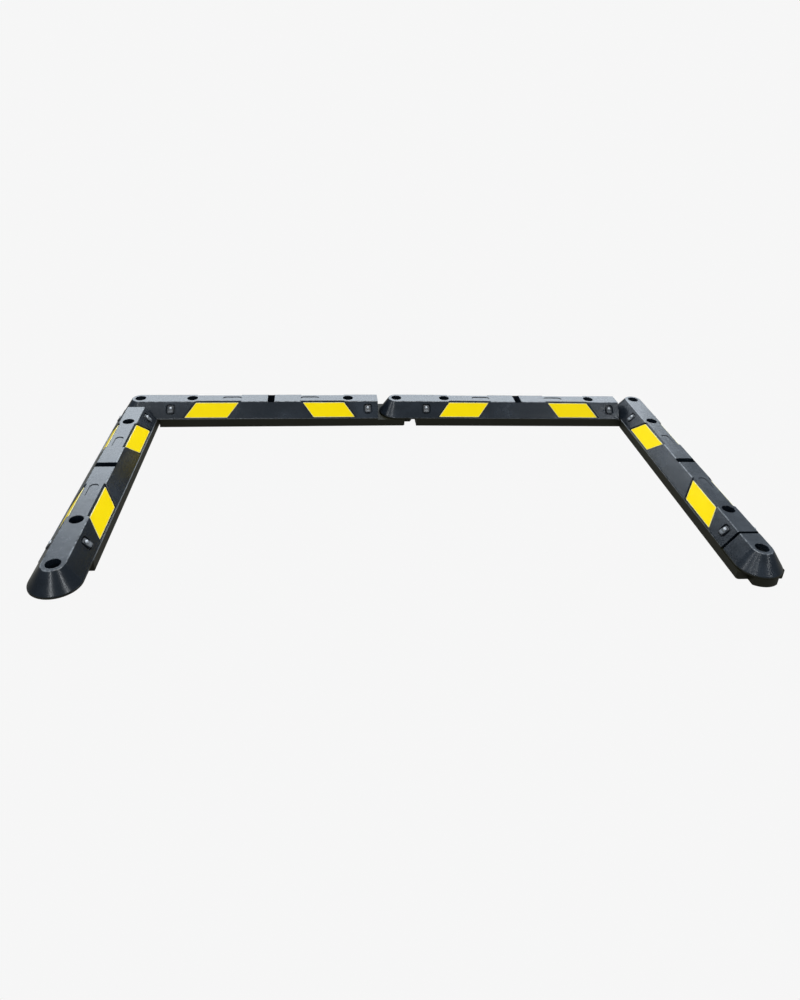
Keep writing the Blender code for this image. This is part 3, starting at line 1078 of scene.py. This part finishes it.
@dataclass
class Fittings:
    """What sits in a module's sides: four reflective sheets and four cat's-eyes."""

    section: Section
    sheet_share: float = 0.227
    sheet_half: float = 0.08125
    sheet_lean: float = 0.0424
    top_margin: float = 0.0045
    foot_margin: float = 0.005
    sheet_thickness: float = 0.0022
    recess_depth: float = 0.005
    recess_end: float = 0.006
    recess_foot: float = 0.0025
    eye_share: float = 0.1185
    eye_drop: float = 0.031
    pocket_half: float = 0.017
    pocket_reach: float = 0.019
    pocket_corner: float = 0.010
    pocket_depth: float = 0.007
    housing_half: float = 0.011
    housing_reach: float = 0.015
    housing_corner: float = 0.005
    face_height: float = 0.002
    face_tilt: float = 0.20
    bead_radius: float = 0.0065
    bead_up: float = 0.004
    bead_height: float = 0.0002
    recess_corner: float = 0.003
    sheet_corner: float = 0.0028
    window_half: float = 0.0072
    window_low: float = 0.0052
    window_high: float = 0.0122
    window_corner: float = 0.0016
    printed_area: float = 0.001  # only a sheet's face and back are larger than this
    overrun: float = 0.020

    @property
    def sheet_height(self) -> float:
        """Find a sheet's size down the slope."""
        return self.section.slope - self.top_margin - self.foot_margin

    def sheet_centre(self, end: End) -> float:
        """Find where a sheet's centre is on the module's length."""
        return self.section.pitch * (0.5 + end.value * self.sheet_share)

    def eye_centre(self, end: End) -> float:
        """Find where a cat's-eye is on the module's length."""
        return self.section.pitch * (0.5 + end.value * (0.5 - self.eye_share))

    def cut_pockets(self, body: Form, side: Side, end: End) -> None:
        """Cut one sheet's recess, open at the top's edge, and one cat's-eye pocket.

        Args:
            body: The module.
            side: Which slope.
            end: Which half.
        """
        lean = -end.value * side.value * self.sheet_lean / self.sheet_height
        foot = self.top_margin + self.sheet_height + self.recess_foot
        over = self.overrun
        open_top = 2 * self.top_margin + self.sheet_height - foot - over
        shift = lean * (self.top_margin + self.sheet_height / 2 - (open_top + foot) / 2)
        recess = Slab(self.sheet_half + self.recess_end, open_top, foot, self.recess_corner, lean)
        levels = ((-0.0004, -self.recess_depth), (0.0, -0.0008), (over + 0.0008, over))
        frame_of = self.section.slope_frame(self.sheet_centre(end), 0.0, side)
        body.cut(recess.loft(levels, shift), frame_of)
        pocket = Slab(self.pocket_half, -self.pocket_reach, self.pocket_reach, self.pocket_corner)
        levels = ((-0.0014, -self.pocket_depth), (-0.0004, 0.0010 - self.pocket_depth), (0.0, -0.0012))
        levels += ((0.0004, -0.0004), (over + 0.0010, over))
        frame_of = self.section.slope_frame(self.eye_centre(end), self.eye_drop, side)
        body.cut(pocket.loft(levels), frame_of)

    def sheet(self, lean_way: int) -> Mesh:
        """Loft one sheet on its carrier: an eased plate with a bare cut edge.

        Args:
            lean_way: 1 or -1, the way that it leans.

        Returns:
            The mesh. Its first material is the face's, and its second the edge's.
        """
        lean = lean_way * self.sheet_lean / self.sheet_height
        low = self.section.contact_gap - self.recess_depth
        high = low + self.sheet_thickness
        foot = self.top_margin + self.sheet_height
        levels = ((-0.0004, low), (0.0, low + 0.0004), (0.0, high - 0.0007), (-0.0003, high - 0.0002))
        levels += ((-0.0009, high), (-0.0016, high - 0.00015), (-0.0021, high - 0.00015))
        slab = Slab(self.sheet_half, self.top_margin, foot, self.sheet_corner, lean)
        mesh = Form(slab.loft(levels)).finished("sheet")
        for polygon in mesh.polygons:
            is_face = polygon.normal.z > 0.0 and polygon.area > self.printed_area
            polygon.material_index = 0 if is_face else 1
        return mesh

    def eye(self) -> Mesh:
        """Build one cat's-eye: a wedge housing with a collar, a bead in its dimple and a window.

        Returns:
            The mesh. Its materials are the housing's, the bead's and the window's.
        """
        low = self.section.contact_gap - self.pocket_depth
        slab = Slab(self.housing_half, -self.housing_reach, self.housing_reach, self.housing_corner)
        rings = [slab.ring(grow, level) for grow, level in ((-0.0005, low), (0.0, low + 0.0005))]
        for grow, rise in ((0.0, -0.0008), (-0.0004, -0.0002), (-0.0012, 0.0)):
            rings.append(slab.ring(grow, self.face_height + rise, tilt=self.face_tilt))
        housing = Form(lofted(rings))
        seat = Matrix.Translation((0.0, -self.bead_up, self.bead_height))
        lip = self.face_height - self.face_tilt * self.bead_up - self.bead_height
        radius = self.bead_radius
        collar = [(radius + 0.0002, -0.003), (radius + 0.0024, -0.003), (radius + 0.0020, lip + 0.0007)]
        collar += [(radius + 0.0012, lip + 0.0012), (radius + 0.0003, lip + 0.0009)]
        housing.join(turned(collar, 32, looped=True), seat)
        window = self.window_plate()
        dimple = bmesh.new()
        bmesh.ops.create_uvsphere(dimple, u_segments=32, v_segments=20, radius=radius + 0.0002)
        housing.cut(dimple, seat)
        mesh = housing.finished("cats_eye")
        work = bmesh.new()
        work.from_mesh(mesh)
        for part, index in ((self.bead(), 1), (window, 2)):
            start = len(work.faces)
            work.from_mesh(part)
            work.faces.ensure_lookup_table()
            for face in work.faces[start:]:
                face.material_index = index
        work.to_mesh(mesh)
        work.free()
        return mesh

    def bead(self) -> Mesh:
        """Turn the bead: a round crown on a barrel that narrows under its dimple's mouth.

        Returns:
            The mesh.
        """
        radius = self.bead_radius
        steps = 11
        turns = [QUARTER * (1.25 - 1.22 * step / steps) for step in range(steps + 1)]
        profile = [(radius * math.sin(turn), radius * math.cos(turn)) for turn in turns]
        seat = Matrix.Translation((0.0, -self.bead_up, self.bead_height))
        return Form(turned(profile, 32), seat).finished("bead", 0.0, 60.0)

    def window_plate(self) -> Mesh:
        """Loft the small reflecting window on the lower half of the housing's face.

        Returns:
            The mesh.
        """
        slab = Slab(self.window_half, self.window_low, self.window_high, self.window_corner)
        rings = []
        for grow, rise in ((0.0, -0.0004), (0.0, 0.0003), (-0.0004, 0.0006), (-0.0012, 0.0007)):
            rings.append(slab.ring(grow, self.face_height + rise, tilt=self.face_tilt))
        return Form(lofted(rings)).finished("window")

    def lay(self, bench: Bench) -> None:
        """Build, dress and lay every sheet and cat's-eye.

        Args:
            bench: Where pieces are laid.
        """
        sheets = {way: self.sheet(way) for way in (-1, 1)}
        face = ReflectiveSheet().build()
        edge = CUT_EDGE.build()
        for mesh in sheets.values():
            mesh.materials.append(face)
            mesh.materials.append(edge)
        eye = self.eye()
        for finish in (EYE_HOUSING, GLASS_BEAD, EYE_WINDOW):
            eye.materials.append(finish.build())
        for module, place in bench.layout.modules.items():
            for side in Side:
                for end in End:
                    spot = f"{side.name.lower()}_{end.name.lower()}"
                    name = module.value
                    own = place.matrix()
                    sheet = sheets[-end.value * side.value]
                    frame_of = own @ self.section.slope_frame(self.sheet_centre(end), 0.0, side)
                    node = f"{name}_panel_{spot}"
                    bench.lay(f"{name}_sheet_{spot}", sheet, frame_of, module, "reflective_panel", node)
                    frame_of = own @ self.section.slope_frame(self.eye_centre(end), self.eye_drop, side)
                    node = f"{name}_cats_eye_{spot}"
                    bench.lay(f"{name}_eye_{spot}", eye, frame_of, module, "cats_eye", node)
        LOG.info("fittings: sheets of %d faces, eyes of %d", len(sheets[1].polygons), len(eye.polygons))


@dataclass
class LapHardware:
    """The bolt, washer and nut of each lap."""

    section: Section
    shank_radius: float = 0.007
    flats: float = 0.022
    head_height: float = 0.009
    washer_radius: float = 0.017
    washer_thickness: float = 0.003
    washer_clearance: float = 0.0005
    washer_ease: float = 0.0004
    nut_height: float = 0.011
    nut_ease: float = 0.001
    projection: float = 0.0015
    thread_pitch: float = 0.002
    thread_depth: float = 0.0011
    thread_above_pocket: float = 0.008
    corner_fall: float = 0.58  # fall of a hexagon's turned-off corners for each unit outward
    ease: float = 0.0002

    @property
    def head_bottom(self) -> float:
        """Find the underside of the bolt's head."""
        return self.section.seat_height + self.washer_thickness + 2 * self.section.contact_gap

    @property
    def nut_bottom(self) -> float:
        """Find the underside of the nut."""
        return self.section.nut_pocket_depth - self.section.contact_gap - self.nut_height

    def hexagon(self, low: float, high: float) -> Form:
        """Build a hexagon prism with its corners turned off at both ends.

        Args:
            low: Its lower face.
            high: Its upper face.

        Returns:
            The solid.
        """
        corner = self.flats / math.sqrt(3.0)
        face = self.flats / 2
        slope = self.corner_fall * (corner - face)
        prism = Form(turned([(corner, low), (corner, high)], 6))
        over = corner + self.ease
        profile = [(face, low), (over, low + slope), (over, high - slope), (face, high)]
        return prism.combine(Form(turned(profile, 48)), "INTERSECT")

    def bolt(self) -> Mesh:
        """Build the bolt: chamfered head, plain shank and threaded end.

        Returns:
            The mesh.
        """
        radius = self.shank_radius
        end = self.nut_bottom - self.projection
        profile = [(radius - 0.0018, end), (radius - 0.0002, end + 0.0012)]
        height = end + 0.0014
        while height < self.section.nut_pocket_depth + self.thread_above_pocket:
            root = height + self.thread_pitch / 2
            profile += [(radius, height), (radius - self.thread_depth, root)]
            height += self.thread_pitch
        profile += [(radius, height), (radius, self.head_bottom + self.head_height / 2)]
        head = self.hexagon(self.head_bottom, self.head_bottom + self.head_height)
        return head.join(turned(profile, 32)).finished("bolt", self.ease)

    def washer(self) -> Mesh:
        """Turn the washer, with eased edges.

        Returns:
            The mesh.
        """
        low = self.section.seat_height + self.section.contact_gap
        high = low + self.washer_thickness
        hole = self.shank_radius + self.washer_clearance
        outer = self.washer_radius
        ease = self.washer_ease
        profile = [(hole + ease, low), (outer - ease, low), (outer, low + ease), (outer, high - ease)]
        profile += [(outer - ease, high), (hole + ease, high), (hole, high - ease), (hole, low + ease)]
        return Form(turned(profile, 56, looped=True)).finished("washer")

    def nut(self) -> Mesh:
        """Build the nut, with a countersunk bore.

        Returns:
            The mesh.
        """
        low = self.nut_bottom
        high = low + self.nut_height
        hole = self.shank_radius + self.section.contact_gap
        ease = self.nut_ease
        mouth = hole + 2 * ease
        profile = [(mouth, low - ease), (hole, low + ease), (hole, high - ease), (mouth, high + ease)]
        return self.hexagon(low, high).cut(turned(profile, 40)).finished("nut", self.ease)

    def lay(self, bench: Bench) -> None:
        """Build, dress and lay the hardware of the four laps.

        Args:
            bench: Where pieces are laid.
        """
        steel = ZINC.build()
        meshes = {"bolt": self.bolt(), "washer": self.washer(), "nut": self.nut()}
        for mesh in meshes.values():
            mesh.materials.append(steel)
        modules = bench.layout.modules
        laps = [(f"{module.value}_lap", place, module) for module, place in modules.items()]
        laps = [*laps[1:], ("end_cap", bench.layout.cap, Module.RIGHT_ARM)]
        for name, place, module in laps:
            frame_of = place.matrix()
            for kind, mesh in meshes.items():
                bench.lay(f"{name}_steel_{kind}", mesh, frame_of, module, "steel", f"{name}_{kind}")
        LOG.info("hardware: %d laps", len(laps))


# Studio

STRIP_TINT = (0.93, 0.97, 1.0)
FAR = 400.0
FLOOR_HALF = 150.0


@dataclass(frozen=True)
class Softbox:
    """One area light, aimed at a point."""

    name: str
    place: tuple
    target: tuple
    size: tuple
    power: float
    tint: tuple = (1.0, 1.0, 1.0)

    def hang(self) -> None:
        """Add the light."""
        light = bpy.data.lights.new(self.name, "AREA")
        light.shape = "RECTANGLE"
        light.size, light.size_y = self.size
        light.energy = self.power
        light.color = self.tint
        holder = placed(self.name, light)
        holder.location = self.place
        aim = Vector(self.target) - Vector(self.place)
        holder.rotation_euler = aim.to_track_quat("-Z", "Y").to_euler()
        holder.visible_camera = False


@dataclass
class Studio:
    """Pale floor, even pale surroundings, softboxes and the camera."""

    lens: float = 25.375
    shift: float = -0.11741
    stand: tuple = (-0.3301, -2.0596, 1.3113)
    yaw: float = 7.68
    pitch: float = -24.01
    roll: float = 3.17
    pale: float = 0.923
    ground: float = 0.24
    horizon: tuple = rgb(0.14, 0.16, 0.19)
    sky: tuple = rgb(0.32, 0.38, 0.45)
    full_sky: float = 0.7  # how high a direction points where the sky's colour is full
    softboxes: tuple = (
        Softbox("overhead", (0.0, 0.4, 5.0), (0.0, 0.4, 0.0), (4.0, 4.0), 238.0, (1.0, 0.99, 0.97)),
        Softbox("back wall", (0.2, 5.0, 2.7), (0.2, 0.0, 0.0), (7.0, 2.0), 200.0, (0.84, 0.92, 1.0)),
        Softbox("left strip", (-3.6, -0.7, 3.2), (0.9, -0.5, 0.0), (0.30, 1.8), 18.0, STRIP_TINT),
        Softbox("front left strip", (-2.95, -2.9, 4.1), (0.0, 0.5, 0.0), (0.30, 1.6), 24.0, STRIP_TINT),
        Softbox("front strip", (-1.6, -4.5, 2.2), (-0.9, -0.4, 0.0), (0.30, 1.6), 26.0, STRIP_TINT),
        Softbox("right strip", (2.7, -3.1, 2.3), (-0.9, -0.5, 0.0), (0.30, 1.6), 26.0, STRIP_TINT),
    )

    def camera(self) -> None:
        """Stand the camera on the open side of the U, looking down at the back of it."""
        yaw = math.radians(self.yaw)
        pitch = math.radians(self.pitch)
        level = math.cos(pitch)
        look = Vector((math.sin(yaw) * level, math.cos(yaw) * level, math.sin(pitch)))
        right = look.cross(Vector((0.0, 0.0, 1.0))).normalized()
        turn = Matrix.Rotation(-math.radians(self.roll), 3, look)
        right = turn @ right
        up = right.cross(look)
        pose = Matrix((right, up, -look)).transposed().to_4x4()
        pose.translation = Vector(self.stand)
        lens = bpy.data.cameras.new("camera")
        lens.lens = self.lens
        lens.shift_y = self.shift
        lens.clip_end = FAR
        holder = placed("camera", lens)
        holder.matrix_world = pose
        bpy.context.scene.camera = holder

    def floor(self) -> None:
        """Lay the pale floor."""
        work = bmesh.new()
        bmesh.ops.create_grid(work, x_segments=1, y_segments=1, size=FLOOR_HALF)
        mesh = bpy.data.meshes.new("floor")
        work.to_mesh(mesh)
        work.free()
        graph = Graph(bpy.data.materials.new("pale floor"))
        self.split(graph, "Emission", rgb(self.ground, self.ground, 0.9 * self.ground))
        mesh.materials.append(graph.holder)
        placed("floor", mesh)

    def split(self, graph: Graph, kind: str, lit: object) -> None:
        """Show a flat pale tone, and give the kerb another light from the same surface.

        Args:
            graph: The floor's or the world's nodes.
            kind: The shader's type, Emission or Background.
            lit: The colour, or its socket, that lights the kerb.
        """
        seen = graph.add(kind, {"Color": rgb(self.pale, self.pale, self.pale)}).outputs[0]
        around = graph.add(kind, {"Color": lit}).outputs[0]
        camera_ray = graph.add("LightPath").outputs["Is Camera Ray"]
        pick = graph.add("MixShader", {0: camera_ray, 1: around, 2: seen}).outputs[0]
        outputs = [node for node in graph.tree.nodes if node.bl_idname.startswith("ShaderNodeOutput")]
        graph.feed(outputs[0].inputs[0], pick)

    def surroundings(self) -> None:
        """Light the kerb evenly from all round: a dim horizon under a soft bluish sky."""
        graph = Graph(bpy.data.worlds.new("surroundings"))
        direction = graph.add("TexCoord").outputs["Generated"]
        height = graph.add("SeparateXYZ", {0: direction}).outputs[2]
        tone = graph.blend(graph.fade(height, 0.0, self.full_sky), self.horizon, self.sky)
        self.split(graph, "Background", tone)
        bpy.context.scene.world = graph.holder

    def set_up(self) -> None:
        """Set up everything that isn't part of the kerb."""
        self.camera()
        self.floor()
        self.surroundings()
        for softbox in self.softboxes:
            softbox.hang()
        bpy.context.scene.view_settings.view_transform = "Standard"
        LOG.info("studio: %d softboxes", len(self.softboxes))


def main() -> None:
    """Build the kerb's visual model and its studio."""
    logging.basicConfig(level=logging.INFO, format="%(name)s: %(message)s")
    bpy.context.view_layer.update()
    Studio().set_up()
    layout = Layout(frame["record"])
    low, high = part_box("back_left_module")
    section = Section(height=high.z, base_half=(high.y - low.y) / 2, pitch=layout.pitch)
    bench = Bench(layout)
    fittings = Fittings(section)
    Mouldings(section).lay(bench, fittings, MouldedRubber(section).build())
    fittings.lay(bench)
    LapHardware(section).lay(bench)
    LOG.info("%d pieces laid", bench.count)


if __name__ == "__main__":
    main()
